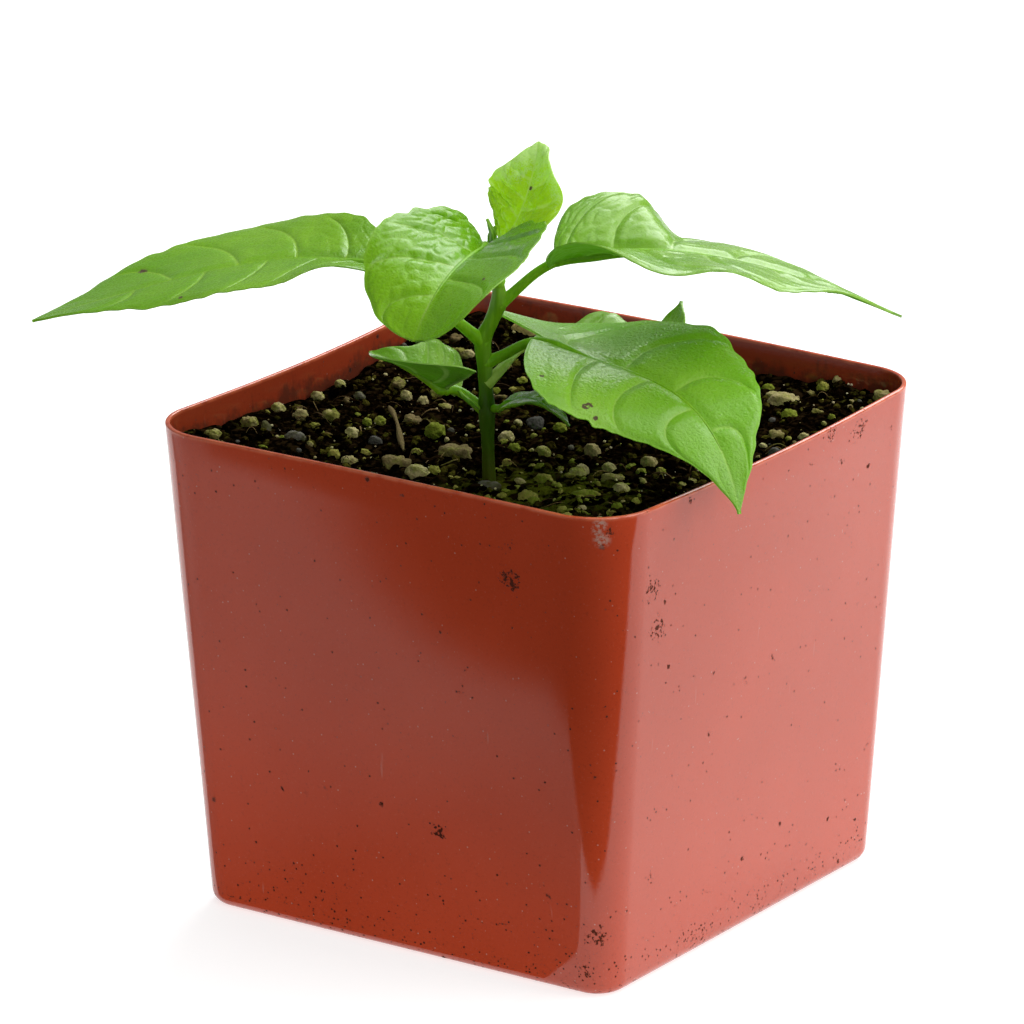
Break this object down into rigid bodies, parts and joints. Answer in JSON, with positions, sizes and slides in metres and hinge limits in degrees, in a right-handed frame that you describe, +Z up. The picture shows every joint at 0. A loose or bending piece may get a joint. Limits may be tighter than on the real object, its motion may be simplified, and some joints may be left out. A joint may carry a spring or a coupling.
{
  "type": "potted chilli pepper plant",
  "caption": "Young chilli pepper plant with broad leaves on a slender stem, growing in a square plastic nursery pot filled with potting mix.",
  "frame": {"origin": "centre of the pot's flat underside", "axes": "+Z up along the plant, X and Y along the pot's sides"},
  "size_m": [0.1203, 0.1259, 0.1444],
  "materials": {
    "pot_plastic": "thin terracotta-red plastic with a soft satin gloss",
    "potting_mix": "moist dark peat mix with pale grains and bark, no gloss",
    "stem_green": "smooth green bark of a young stem, soft gloss",
    "leaf_green": "waxy leaf with raised veins, soft gloss",
    "leaf_young_green": "tender yellow-green leaf, soft gloss"
  },
  "bodies": {
    "root": {"pot": "pot_plastic", "soil": "potting_mix", "stem": "stem_green", "leaf_left": "leaf_green", "leaf_front": "leaf_green", "leaf_right": "leaf_green", "leaf_right_front": "leaf_green", "leaf_behind": "leaf_green", "leaf_low_left": "leaf_green", "leaf_seed": "leaf_green", "leaf_young": "leaf_young_green"}
  },
  "joints": []
}
